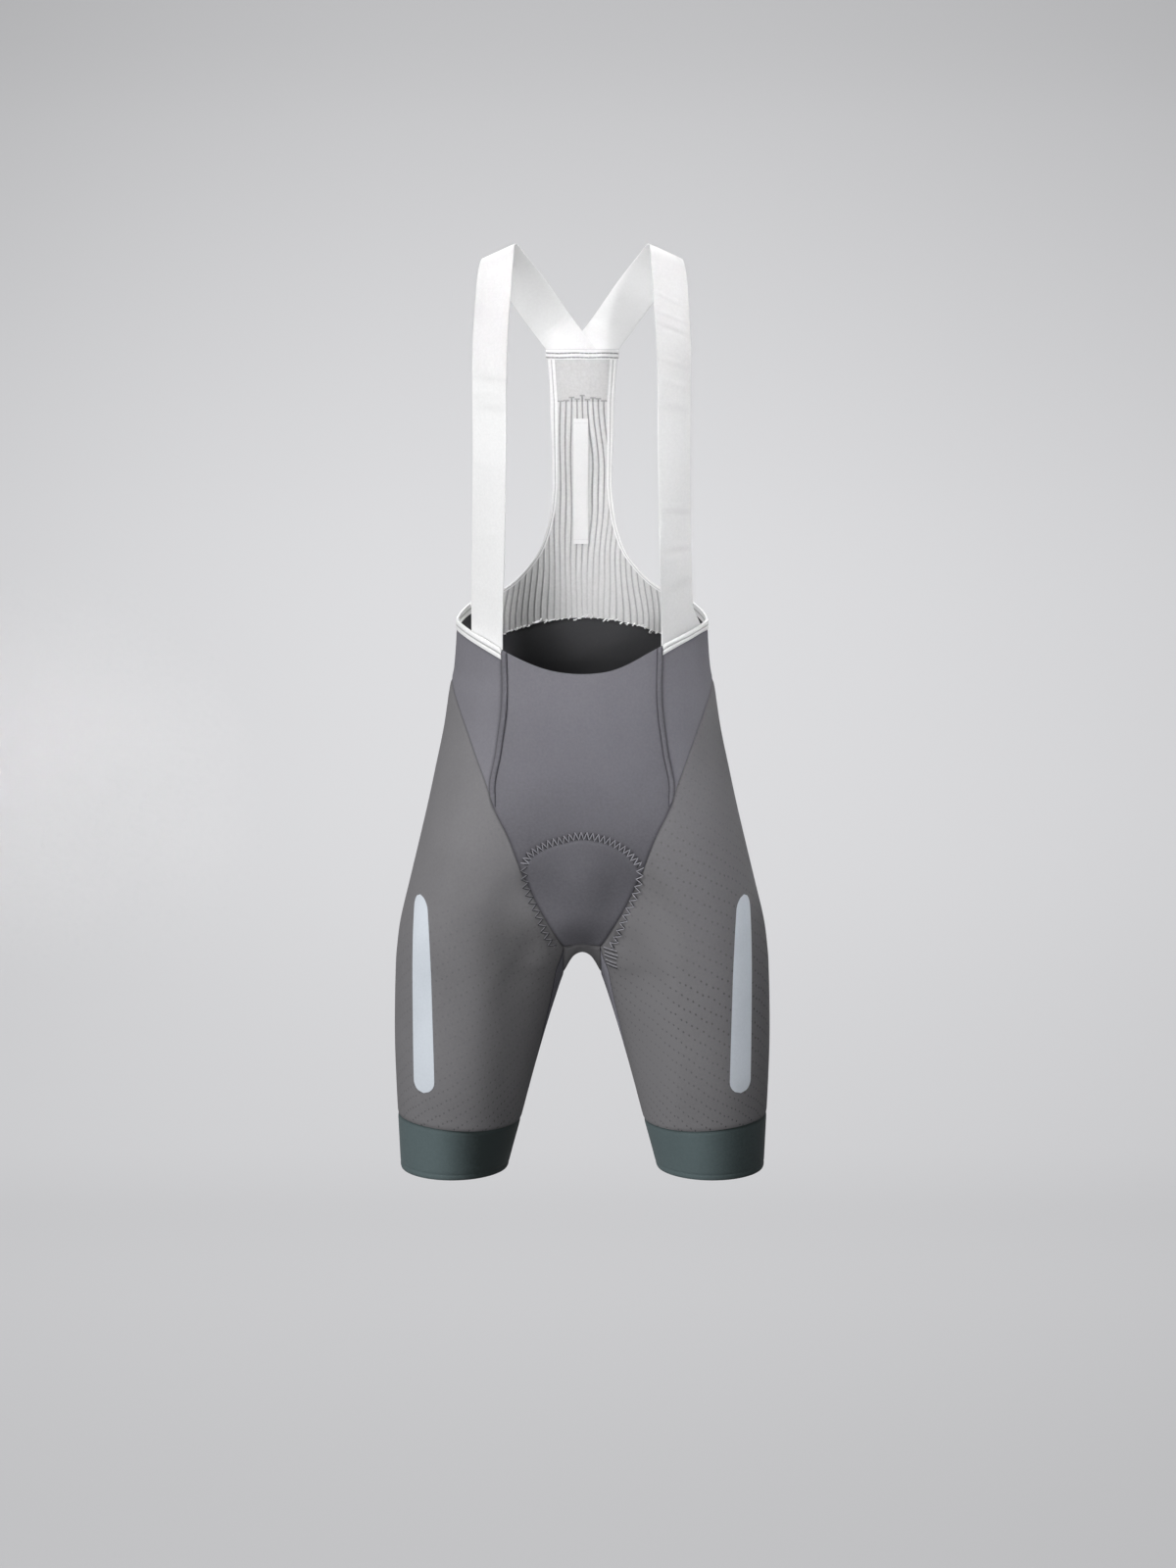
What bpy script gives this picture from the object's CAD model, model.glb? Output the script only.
"""Cycling bib shorts, worn by nobody: knit panels, ribbed back, elastic straps and leg bands."""

import logging
import math
from collections.abc import Callable, Sequence
from dataclasses import dataclass, field
from enum import Enum

import bpy
import numpy as np
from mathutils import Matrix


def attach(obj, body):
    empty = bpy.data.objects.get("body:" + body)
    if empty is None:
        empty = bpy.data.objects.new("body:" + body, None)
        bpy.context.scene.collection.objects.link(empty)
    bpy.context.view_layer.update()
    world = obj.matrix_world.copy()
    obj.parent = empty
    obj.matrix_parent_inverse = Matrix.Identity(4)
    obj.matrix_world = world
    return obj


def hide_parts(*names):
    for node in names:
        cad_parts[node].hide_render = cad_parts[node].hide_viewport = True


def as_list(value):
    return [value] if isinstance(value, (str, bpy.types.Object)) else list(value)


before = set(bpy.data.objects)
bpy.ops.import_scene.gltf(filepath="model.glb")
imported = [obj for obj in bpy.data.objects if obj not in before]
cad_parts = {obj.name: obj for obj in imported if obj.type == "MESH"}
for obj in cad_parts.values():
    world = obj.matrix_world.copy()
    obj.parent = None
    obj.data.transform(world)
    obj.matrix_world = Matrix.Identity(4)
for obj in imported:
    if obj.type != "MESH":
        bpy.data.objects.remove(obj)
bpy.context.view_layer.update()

log = logging.getLogger("bib_shorts")
Array = np.ndarray
MM = 0.001

# Cloth and trim thicknesses, in millimetres as every length below
CLOTH = 1.4
GRIPPER_CLOTH = 1.8
TRIM = 2.2
STRAP_CLOTH = 1.2
LABEL_CLOTH = 0.6
SEAM_GAP = 0.3

# Heights
GRIPPER_TOP = -905.0
HEM = -957.0
FRONT_POINT = -707.0
SEAM_TIP = -548.0
SIDE_PEAK = -441.0
FRONT_WAIST = -414.0
FRONT_DIP = 20.5
FELLED_TOP = -406.0
SIDE_WAIST = -389.0
RIB_TOP = -163.0
YOKE_TOP = -119.0
BAND_TOP = -109.0
RIB_FLARE_TOP = -250.0
RIB_SIDE_TOP = -373.0
RIB_CENTRE = -388.5
SADDLE_START = -640.0
BAND_TILT = 7.0

# Widths, half where the piece is symmetric
POINT_HALF = 18.5
TIP_HALF = 93.0
BAND_HALF = 38.0
YOKE_TOP_HALF = 29.0
RIB_PITCH = 5.8
NECK_HALF = 4.5 * RIB_PITCH
RIB_HALF = NECK_HALF + 14 * RIB_PITCH
RIB_ARCH = 15.5
RIB_ARCH_HALF = 84.0
WAIST_BINDING = 10.0
NECK_BINDING = 7.0
FRONT_EDGE = FRONT_WAIST + WAIST_BINDING

# Steps of the leg seam: from the crotch point to the tip, then up to the peak at the side
LOWER_STEPS = 8
SIDE_STEPS = 6
UPPER_STEPS = 6
RIB_SIDE_STEPS = 2
LEG_ROWS = 16
ARCH_ROUNDNESS = 0.92
WAIST_BACK_RISE = 1.3
WAIST_FRONT_EASE = 1.8

# The figure: height, half width, signed half depth or half gap at the centre, front and
# back depths, and how far the crotch is filled out sideways
SECTIONS = np.array([
    (-90, 150, -106, 98, 106, 0), (-160, 151, -106, 108, 104, 0), (-250, 142, -101, 104, 97, 0),
    (-330, 131, -95, 96, 92, 0), (-380, 128.6, -93, 93, 95, 0), (-428, 131.5, -97, 95, 99, 0),
    (-449, 136.1, -100, 97, 103, 0), (-490, 142.4, -103, 100, 111, 0),
    (-530, 150.8, -98, 103, 119, 0), (-571, 159.7, -84, 105, 126, 0),
    (-613, 169.7, -66, 106, 129, 0.11), (-654, 179.7, -46, 104, 125, 0.46),
    (-694, 189.2, -26, 100, 113, 1.05), (-726, 193.3, 0, 95, 101, 1.4),
    (-737, 194.1, 13.4, 93, 98, 1.35), (-779, 195.5, 29.2, 89, 87, 1.0),
    (-821, 195.9, 41.8, 84, 79, 0.5), (-863, 194.8, 53.4, 78, 72, 0.2),
    (-905, 193.1, 64.4, 70, 65, 0), (-960, 190.8, 79, 62, 59, 0),
])
# Height and distance out of the line inside each leg that its cloth is seen from
AXIS = np.array([(-370, 55), (-441, 58), (-548, 68), (-707, 88), (-960, 134)])
# Height and half width of the seams between the middle panels and the sides and legs
LOWER_SEAM = [(SEAM_TIP, TIP_HALF), (-590, 74), (-636, 56), (-676, 36.5), (FRONT_POINT, POINT_HALF)]
FRONT_SEAM = np.array([(-404, 81.5), (-455, 81), (-504, 87), *LOWER_SEAM])
# Height and the depths of the two seams of the inner leg strip
INNER_LEG = np.array([
    (FRONT_POINT, -64, 70), (-720, -66, 72), (-735, -58, 68), (-750, -48, 62), (-775, -35, 56),
    (-801, -24, 52), (-842, -5, 48), (-870, 6, 47), (GRIPPER_TOP, 16, 46),
])
# Distance out and height of the edge of the ribbed back, from its neck to the side
RIB_EDGE = np.array([
    (NECK_HALF, RIB_FLARE_TOP), (28.5, -275), (34, -299), (41, -317), (52, -333), (66, -348),
    (80, -358), (RIB_HALF, RIB_SIDE_TOP),
])
# Inner and outer edge of a strap, from the waist over the shoulder to the top band: out,
# depth and up. Without a depth the edge lies on the figure.
LIES_ON = math.nan
STRAP = np.array([
    (81.5, LIES_ON, -412, 114.5, LIES_ON, -397), (81.3, LIES_ON, -380, 114.4, LIES_ON, -372),
    (79, LIES_ON, -300, 113, LIES_ON, -297), (76.5, LIES_ON, -200, 110.8, LIES_ON, -200),
    (74, -99, -110, 108.5, -80, -112), (71, -75, -55, 106.2, -62, -64),
    (68.5, -38, -15, 103.8, -34, -29), (67, 0, 0.4, 100, 0, -14.4), (56, 40, -13, 90, 42, -30),
    (36, 74, -39, 74, 74, -58), (11, 97, -75, 53, 95.5, -88), (-14.4, 104.5, -108, 38, 104.5, -108),
])
# Outline of the pad's stitching on the cloth in front: distance out and height
PAD_ARC = np.array([
    (-58, -616), (-53.2, -606.8), (-43.3, -599.8), (-33.5, -594.9), (-18.7, -591), (-8.9, -588),
    (1, -587), (15.8, -589), (30.5, -593.9), (45.3, -602.9), (58, -617),
])
PAD_SIDE = np.array([
    (58.5, -619), (57.2, -636), (52.5, -652), (46.3, -666), (41, -680), (35.5, -694), (29, -706),
])


def mix(a: Array | float, b: Array | float, t: Array | float) -> Array | float:
    """Goes from a to b as t goes from 0 to 1."""
    return a + (b - a) * t


def smooth(t: Array | float) -> Array:
    """Eases in and out between 0 and 1, and stays there outside."""
    t = np.clip(t, 0, 1)
    return t * t * (3 - 2 * t)


def spaced(count: int, crowd: float = 0.0) -> Array:
    """Steps from 0 to 1.

    Args:
        count: Number of cells between them.
        crowd: 0 for even steps, towards 1 for finer ones at both ends.

    Returns:
        The count + 1 values.
    """
    t = np.linspace(0, 1, count + 1)
    return t - crowd * np.sin(2 * math.pi * t) / (2 * math.pi)


def unit(v: Array) -> Array:
    """Vectors of length 1."""
    return v / np.maximum(np.linalg.norm(v, axis=-1, keepdims=True), 1e-9)


class Curve:
    """A smooth curve through a table's values, looked up by its first column."""

    def __init__(self, at: Sequence[float] | Array, values: Sequence[float] | Array) -> None:
        """Keeps the table in rising order, with a slope at each row.

        Args:
            at: Where each value holds.
            values: The values there.
        """
        order = np.argsort(at)
        self.at = np.asarray(at, float)[order]
        self.values = np.asarray(values, float)[order]
        last = len(self.at) - 1
        before, after = np.maximum(np.arange(last + 1) - 1, 0), np.minimum(np.arange(last + 1) + 1, last)
        self.slopes = (self.values[after] - self.values[before]) / (self.at[after] - self.at[before])

    def __call__(self, at: Array | float) -> Array:
        """The value at each place."""
        at = np.asarray(at, float)
        i = np.clip(np.searchsorted(self.at, at, side="right") - 1, 0, len(self.at) - 2)
        step = self.at[i + 1] - self.at[i]
        t = (at - self.at[i]) / step
        t2, t3 = t * t, t * t * t
        return ((2 * t3 - 3 * t2 + 1) * self.values[i] + (t3 - 2 * t2 + t) * step * self.slopes[i]
                + (3 * t2 - 2 * t3) * self.values[i + 1] + (t3 - t2) * step * self.slopes[i + 1])


axis_out = Curve(AXIS[:, 0], AXIS[:, 1])
front_seam = Curve(FRONT_SEAM[:, 0], FRONT_SEAM[:, 1])
rib_edge = Curve(RIB_EDGE[:, 0], RIB_EDGE[:, 1])


def rib_bottom(x: Array | float) -> Array | float:
    """Height of the lower edge of the ribbed back."""
    return RIB_CENTRE - RIB_ARCH * (x / RIB_ARCH_HALF) ** 2


RIB_CORNER = float(rib_bottom(RIB_HALF))
BACK_SEAM = np.array([(RIB_CORNER, RIB_HALF), (-480, 101), *LOWER_SEAM])
back_seam = Curve(BACK_SEAM[:, 0], BACK_SEAM[:, 1])


def tilted(points: Array) -> Array:
    """Lifts the leg band's seam on the outside of the leg, where the leg is drawn up."""
    lift = BAND_TILT * smooth((np.abs(points[..., 0]) - 75) / 120)
    near = np.exp(-(((points[..., 2] - GRIPPER_TOP) / 34.0) ** 2))
    moved = points.copy()
    moved[..., 2] += lift * near
    return figure.settle(moved)


def drawn_up(points: Array) -> Array:
    """Lifts the waist in front at each strap, more on the left."""
    x, y, z = points[..., 0], points[..., 1], points[..., 2]
    lift = np.where(x > 0, 6.5, 2.0) * smooth((np.abs(x) - 20) / 60) * smooth(-y / 40)
    moved = points.copy()
    moved[..., 2] += lift * np.exp(-(((z + 412) / 25.0) ** 2))
    return figure.settle(moved)


class Face(Enum):
    """Which side of the figure a piece lies on."""

    FRONT = -1
    BACK = 1


@dataclass(frozen=True)
class Figure:
    """The form that the cloth lies on: one oval loop at the torso, two at the legs."""

    blunt_width: float = 40.0
    reach: float = 200.0
    halvings: int = 30
    step: float = 0.02

    def value(self, p: Array) -> Array:
        """Negative inside the figure, zero on it and positive outside.

        Args:
            p: Points, with out, depth and up along the last axis.

        Returns:
            One value a point.
        """
        x, y, z = p[..., 0], p[..., 1], p[..., 2]
        half, centre, front, back, blunt = (curve(z) for curve in SECTION_CURVES)
        focus, reach = (half**2 + centre) / 2, (half**2 - centre) / 2
        deepest = np.where(focus > reach / 2, reach / (2 * np.sqrt(np.maximum(focus, 1.0))),
                           np.sqrt(np.maximum(reach - focus, 1.0)))
        filled_out = 1 + blunt * np.exp(-((x / self.blunt_width) ** 2))
        v = y * deepest / (np.where(y < 0, front, back) * filled_out)
        return ((x * x - v * v - focus) ** 2 + (2 * x * v) ** 2) / reach**2 - 1

    def outward(self, p: Array) -> Array:
        """Unit vectors square to the figure."""
        ahead = [self.value(p + self.step * e) - self.value(p - self.step * e) for e in np.eye(3)]
        return unit(np.stack(ahead, -1))

    def cast(self, start: Array, way: Array, reach: Array | float) -> Array:
        """Where rays from inside come out.

        Args:
            start: Points inside the figure.
            way: The direction of each ray.
            reach: How far each looks.

        Returns:
            The points on the figure.
        """
        start, way = np.broadcast_arrays(start, way)
        near = np.zeros(start.shape[:-1])
        far = near + reach
        for _ in range(self.halvings):
            middle = (near + far) / 2
            inside = self.value(start + way * middle[..., None]) < 0
            near, far = np.where(inside, middle, near), np.where(inside, far, middle)
        return start + way * near[..., None]

    def settle(self, p: Array) -> Array:
        """Moves points that are close to the figure onto it."""
        for _ in range(6):
            n = self.outward(p)
            here, ahead = self.value(p), self.value(p + n * self.step)
            p = p - n * (here * self.step / (ahead - here))[..., None]
        return p

    def at(self, face: Face, x: Array, z: Array) -> Array:
        """Points in front or behind at a distance out and a height."""
        x, z = np.broadcast_arrays(np.asarray(x, float), np.asarray(z, float))
        return self.cast(np.stack([x, 0 * x, z], -1), np.array([0.0, face.value, 0.0]), self.reach)

    def inside_leg(self, y: Array, z: Array) -> Array:
        """Points on the inside of the left thigh at a depth and a height."""
        y, z = np.broadcast_arrays(np.asarray(y, float), np.asarray(z, float))
        out = axis_out(z)
        return self.cast(np.stack([out, y, z], -1), np.array([-1.0, 0.0, 0.0]), out)

    def round_leg(self, angle: Array, z: Array) -> Array:
        """Points round the left leg and hip at an angle and a height."""
        angle, z = np.broadcast_arrays(np.asarray(angle, float), np.asarray(z, float))
        out = axis_out(z)
        way = np.stack([np.cos(angle), np.sin(angle), 0 * z], -1)
        inward = np.minimum(way[..., 0], -1e-6)
        reach = np.where(way[..., 0] < 0, np.minimum(self.reach, -out / inward), self.reach)
        return self.cast(np.stack([out, 0 * z, z], -1), way, reach)

    def saddle(self, x: Array, y: Array) -> Array:
        """Points under the crotch at a distance out and a depth."""
        x, y = np.broadcast_arrays(np.asarray(x, float), np.asarray(y, float))
        start = np.stack([x, y, 0 * x + SADDLE_START], -1)
        return self.cast(start, np.array([0.0, 0.0, -1.0]), self.reach)


def signed_square(v: Array) -> Array:
    """The square with the value's own sign, which joins torso and legs smoothly."""
    return np.sign(v) * v**2


SECTION_CURVES = [
    Curve(SECTIONS[:, 0], signed_square(SECTIONS[:, k]) if k == 2 else SECTIONS[:, k])
    for k in range(1, 6)
]
figure = Figure()


def angle_of(p: Array, past: bool = False) -> Array:
    """The angle about the leg's line that points are seen at, the front negative.

    Args:
        p: Points on the left side.
        past: True where the angle goes on past the inside of the leg.

    Returns:
        Angles in radians.
    """
    angle = np.arctan2(p[..., 1], p[..., 0] - axis_out(p[..., 2]))
    return np.where(angle > 0, angle - 2 * math.pi, angle) if past else angle


Edge = Callable[[Array], Array]


def filled(u: Array, v: Array, top: Edge, bottom: Edge, left: Edge, right: Edge) -> Array:
    """A grid filled in between four edges, in whatever two coordinates they use.

    Args:
        u: Steps across, from 0 to 1.
        v: Steps down, from 0 to 1.
        top: The edges, each giving two coordinates at every step.
        bottom: As top.
        left: As top.
        right: As top.

    Returns:
        An array of rows, columns and the two coordinates.
    """
    ends = np.array([0.0, 1.0])
    uu, vv = u[None, :, None], v[:, None, None]
    corners = mix(mix(*top(ends), uu), mix(*bottom(ends), uu), vv)
    return mix(top(u)[None], bottom(u)[None], vv) + mix(left(v)[:, None], right(v)[:, None], uu) - corners


def pair(a: Array | float, b: Array | float) -> Array:
    """Two coordinates side by side."""
    return np.stack(np.broadcast_arrays(np.asarray(a, float), np.asarray(b, float)), -1)


def mirrored(points: Array) -> Array:
    """The same points on the other side of the figure."""
    return points * np.array([-1.0, 1.0, 1.0])


def along(points: Array, axis: int) -> Array:
    """Length of cloth from the first row or column to each point."""
    steps = np.linalg.norm(np.diff(points, axis=axis), axis=-1)
    return np.insert(np.cumsum(steps, axis=axis), 0, 0, axis=axis)


def edge_distance(points: Array, edges: str) -> Array:
    """Length of cloth from each point of a grid to the nearest of its named edges.

    Args:
        points: The grid.
        edges: Letters out of t, b, l and r.

    Returns:
        One distance a point.
    """
    down, across = along(points, 0), along(points, 1)
    found = {"t": down, "b": down[-1:] - down, "l": across, "r": across[:, -1:] - across}
    return np.min([found[e] for e in edges], axis=0) if edges else np.full(points.shape[:-1], 1e3)


def line_distance(points: Array, line: Array) -> Array:
    """Distance from points to a line of points.

    Args:
        points: Any array of points.
        line: The line's points in order.

    Returns:
        One distance a point.
    """
    nearest = np.full(points.shape[:-1], 1e9)
    for a, b in zip(line[:-1], line[1:]):
        t = np.clip(((points - a) @ (b - a)) / max(float((b - a) @ (b - a)), 1e-9), 0, 1)
        nearest = np.minimum(nearest, np.linalg.norm(points - (a + t[..., None] * (b - a)), axis=-1))
    return nearest


def linear(hex_colour: str) -> tuple[float, float, float, float]:
    """An sRGB hex colour as the linear colour that Blender's sockets take."""
    parts = [int(hex_colour[k:k + 2], 16) / 255 for k in (1, 3, 5)]
    r, g, b = (c / 12.92 if c <= 0.04045 else ((c + 0.055) / 1.055) ** 2.4 for c in parts)
    return (r, g, b, 1.0)


def add(tree: bpy.types.NodeTree, kind: str, inputs: dict | None = None, **settings: object) -> bpy.types.Node:
    """Adds one node.

    Args:
        tree: Where it goes.
        kind: Blender's name for the node.
        inputs: What each socket takes, a value or another node's output.
        settings: The node's own options.

    Returns:
        The node.
    """
    node = tree.nodes.new(kind)
    for name, value in settings.items():
        setattr(node, name, value)
    for socket, value in (inputs or {}).items():
        if isinstance(value, bpy.types.NodeSocket):
            tree.links.new(value, node.inputs[socket])
        else:
            node.inputs[socket].default_value = value
    return node


UV_NAME = "cloth"
PRESSED = "pressed"
DIMPLED = "dimpled"


@dataclass(frozen=True)
class Finish:
    """A cloth: its colours, how it takes the light, and the size of its knit or weave."""

    name: str
    colour: str
    shade: str
    roughness: float = 0.9
    sheen: float = 0.03
    columns: float = 1.1
    courses: float = 1.4
    relief: float = 0.12
    blotch: float = 0.10
    glow: float = 0.0

    def pattern(self, tree: bpy.types.NodeTree, uv: bpy.types.NodeSocket) -> tuple:
        """Columns and courses of stitches.

        Args:
            tree: The material's nodes.
            uv: The piece's own coordinates, in metres along the cloth.

        Returns:
            The height of the pattern, and how much of the shade colour it takes.
        """
        waves = []
        parts = add(tree, "ShaderNodeSeparateXYZ", {0: uv})
        for k, pitch in enumerate((self.columns, self.courses)):
            turn = add(tree, "ShaderNodeMath", {0: parts.outputs[k], 1: 2 * math.pi / (pitch * MM)},
                       operation="MULTIPLY")
            waves.append(add(tree, "ShaderNodeMath", {0: turn.outputs[0]}, operation="SINE"))
        both = add(tree, "ShaderNodeMath", {0: waves[0].outputs[0], 1: waves[1].outputs[0]},
                   operation="MULTIPLY")
        height = add(tree, "ShaderNodeMapRange", {0: both.outputs[0], 1: -1.0, 2: 1.0, 3: 0.0, 4: 1.0})
        shade = add(tree, "ShaderNodeMapRange", {0: both.outputs[0], 1: -1.0, 2: 1.0, 3: 0.14, 4: 0.0})
        return height.outputs[0], shade.outputs[0]

    def material(self) -> bpy.types.Material:
        """The finish as a Blender material."""
        made = bpy.data.materials.get(self.name)
        if made:
            return made
        made = bpy.data.materials.new(self.name)
        made.use_nodes = True
        tree = made.node_tree
        shader = tree.nodes["Principled BSDF"]
        uv = add(tree, "ShaderNodeUVMap", uv_map=UV_NAME).outputs[0]
        place = add(tree, "ShaderNodeTexCoord").outputs["Object"]
        height, shade = self.pattern(tree, uv)
        cloud = add(tree, "ShaderNodeTexNoise", {"Vector": place, "Scale": 14.0, "Detail": 4.0})
        fuzz = add(tree, "ShaderNodeTexNoise", {"Vector": place, "Scale": 420.0, "Detail": 2.0})
        pressed = add(tree, "ShaderNodeAttribute", attribute_name=PRESSED).outputs["Fac"]
        blotch = add(tree, "ShaderNodeMapRange", {0: cloud.outputs[0], 1: 0.3, 2: 0.7, 3: 0.0, 4: self.blotch})
        grain = add(tree, "ShaderNodeMapRange", {0: fuzz.outputs[0], 1: 0.3, 2: 0.7, 3: 0.0, 4: 0.10})
        amount = shade
        for part in (blotch.outputs[0], grain.outputs[0], pressed):
            amount = add(tree, "ShaderNodeMath", {0: amount, 1: part}, operation="ADD", use_clamp=True).outputs[0]
        mixed = add(tree, "ShaderNodeMix", {0: amount, 6: linear(self.colour), 7: linear(self.shade)},
                    data_type="RGBA")
        bump = add(tree, "ShaderNodeBump", {"Height": height, "Distance": self.relief * MM, "Strength": 0.7})
        tree.links.new(mixed.outputs[2], shader.inputs["Base Color"])
        tree.links.new(bump.outputs[0], shader.inputs["Normal"])
        shader.inputs["Roughness"].default_value = self.roughness
        shader.inputs["Sheen Weight"].default_value = self.sheen
        shader.inputs["Sheen Roughness"].default_value = 0.45
        shader.inputs["Subsurface Weight"].default_value = self.glow
        shader.inputs["Subsurface Radius"].default_value = (1.0, 1.0, 1.0)
        shader.inputs["Subsurface Scale"].default_value = 2.5 * MM
        shader.inputs["Specular IOR Level"].default_value = 0.12
        return made


@dataclass(frozen=True)
class DimpledKnit(Finish):
    """Knit with small dimples in slanting rows."""

    step: tuple[float, float] = (4.7, -3.4)
    rows_apart: float = 14.6
    size: float = 1.5

    def pattern(self, tree: bpy.types.NodeTree, uv: bpy.types.NodeSocket) -> tuple:
        """Rows of dimples.

        Args:
            tree: The material's nodes.
            uv: The piece's own coordinates, in metres along the cloth.

        Returns:
            The height of the pattern, and how much of the shade colour it takes.
        """
        (over, up), apart = self.step, self.rows_apart

        def turned(vector: bpy.types.NodeSocket, first: tuple, second: tuple) -> bpy.types.NodeSocket:
            """The vector's parts along two others."""
            parts = [add(tree, "ShaderNodeVectorMath", {0: vector, 1: (*way, 0.0)}, operation="DOT_PRODUCT")
                     for way in (first, second)]
            return add(tree, "ShaderNodeCombineXYZ", {0: parts[0].outputs["Value"], 1: parts[1].outputs["Value"]}
                       ).outputs[0]

        lattice = turned(uv, (1 / (over * MM), 0.0), (-up / (over * apart * MM), 1 / (apart * MM)))
        cells = add(tree, "ShaderNodeTexVoronoi", {"Vector": lattice, "Scale": 1.0, "Randomness": 0.16},
                    voronoi_dimensions="2D")
        off = add(tree, "ShaderNodeVectorMath", {0: lattice, 1: cells.outputs["Position"]}, operation="SUBTRACT")
        slant = add(tree, "ShaderNodeVectorMath", {0: turned(off.outputs[0], (over, 0.0), (up, apart)),
                                                   1: (1.25, 0.85, 0.0)}, operation="MULTIPLY")
        far = add(tree, "ShaderNodeVectorMath", {0: slant.outputs[0]}, operation="LENGTH")
        dimple = add(tree, "ShaderNodeMapRange", {0: far.outputs["Value"], 1: self.size * 0.3, 2: self.size,
                                                  3: 1.0, 4: 0.0}, interpolation_type="SMOOTHSTEP")
        patch = add(tree, "ShaderNodeTexNoise", {"Vector": uv, "Scale": 9.0, "Detail": 1.0})
        strength = add(tree, "ShaderNodeMapRange", {0: patch.outputs[0], 1: 0.35, 2: 0.65, 3: 0.5, 4: 1.0})
        tight = add(tree, "ShaderNodeAttribute", attribute_name=DIMPLED).outputs["Fac"]
        shown = add(tree, "ShaderNodeMath", {0: strength.outputs[0], 1: tight}, operation="MULTIPLY")
        deep = add(tree, "ShaderNodeMath", {0: dimple.outputs[0], 1: shown.outputs[0]}, operation="MULTIPLY")
        height = add(tree, "ShaderNodeMath", {0: 1.0, 1: deep.outputs[0]}, operation="SUBTRACT")
        shade = add(tree, "ShaderNodeMath", {0: deep.outputs[0], 1: 0.75}, operation="MULTIPLY")
        return height.outputs[0], shade.outputs[0]


# Matt warp knit of polyamide and elastane: fine columns, a faint bloom at glancing angles
SMOOTH_KNIT = Finish("warp_knit", "#77767c", "#3c3b40")
DIMPLED_KNIT = DimpledKnit("dimpled_warp_knit", "#727173", "#3d3c3d", relief=0.5)
INSIDE_KNIT = Finish("brushed_inside", "#434345", "#2d2d2e")
# Raw-cut elastic: denser, slightly glossier, with fine courses round the leg
BAND_ELASTIC = Finish("raw_cut_elastic", "#596668", "#262d2d", roughness=0.7, columns=1.4, courses=1.1)
# The knit of the inner leg strips: the same cloth, stretched thinner and so a little paler
INNER_KNIT = Finish("stretched_knit", "#97969f", "#3a3a3f", roughness=0.85)
# Flat white elastic: smooth, with fine ribs across it
STRAP_ELASTIC = Finish("flat_elastic", "#ebebeb", "#b4b4b4", roughness=0.6, sheen=0.02, columns=1.2,
                       courses=1.2, relief=0.08, blotch=0.05, glow=0.6)
ELASTIC_BACK = Finish("flat_elastic_back", "#ffffff", "#d0d0d0", roughness=0.6, sheen=0.02, columns=1.2,
                      courses=1.2, relief=0.08, blotch=0.05, glow=1.0)
RIB_KNIT = Finish("white_rib_knit", "#dedede", "#7c7c7c", blotch=0.05)
TRIM_ELASTIC = Finish("folded_elastic", "#e9e9e9", "#8c8c8c", roughness=0.55, sheen=0.02, blotch=0.04)
LABEL_TAPE = Finish("woven_tape", "#dddddd", "#bcbcbc", roughness=0.5, columns=1.0, courses=1.0, blotch=0.03)
# Heat-bonded reflective film: pale blue-grey, a little gloss
REFLECTIVE_FILM = Finish("reflective_film", "#cdd3da", "#9aa1a8", roughness=0.38, sheen=0.0, columns=1.6,
                         courses=1.6, relief=0.05, blotch=0.2)
PALE_THREAD = Finish("pale_thread", "#a3a2a9", "#77767c", roughness=0.6, relief=0.02)
DULL_THREAD = Finish("dull_thread", "#807f84", "#5a5a5c", roughness=0.6, relief=0.02)
DARK_THREAD = Finish("dark_thread", "#38383b", "#242426", roughness=0.6, relief=0.02)
GREY_THREAD = Finish("grey_thread", "#8a8a8c", "#5c5c5e", roughness=0.6, relief=0.02)
WHITE_THREAD = Finish("white_thread", "#f0f0f0", "#a8a8a8", roughness=0.6, relief=0.02)


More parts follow.
